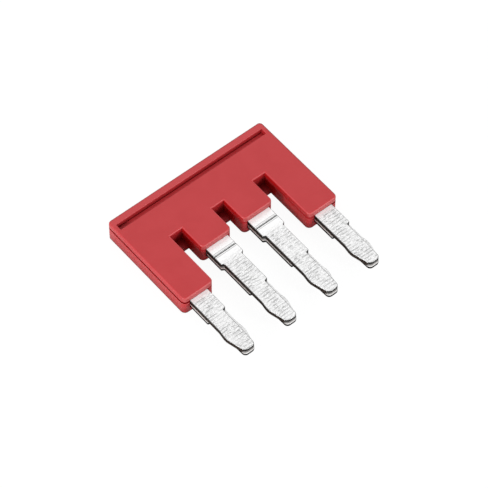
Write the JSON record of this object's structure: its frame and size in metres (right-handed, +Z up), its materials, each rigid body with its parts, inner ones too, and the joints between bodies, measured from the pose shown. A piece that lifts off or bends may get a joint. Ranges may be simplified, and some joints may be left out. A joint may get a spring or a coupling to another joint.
{
  "type": "terminal block jumper bar",
  "caption": "Flat moulded body with legs, a stamped comb inside it, and double metal blades that plug in to join a row of terminal blocks.",
  "frame": {"origin": "centre of the underside of the whole part's box, with the body lying flat", "axes": "+X along the row of poles, -Y the way the blades plug in, +Z up through the thickness of the body"},
  "size_m": [0.023, 0.0232, 0.003],
  "materials": {
    "moulded_red": "fine moulded texture",
    "tinned_copper": "tin plated, sheared edges bare"
  },
  "bodies": {
    "root": {"base": "moulded_red", "cover": "moulded_red", "lower_comb": "tinned_copper", "upper_comb": "tinned_copper"}
  },
  "joints": []
}
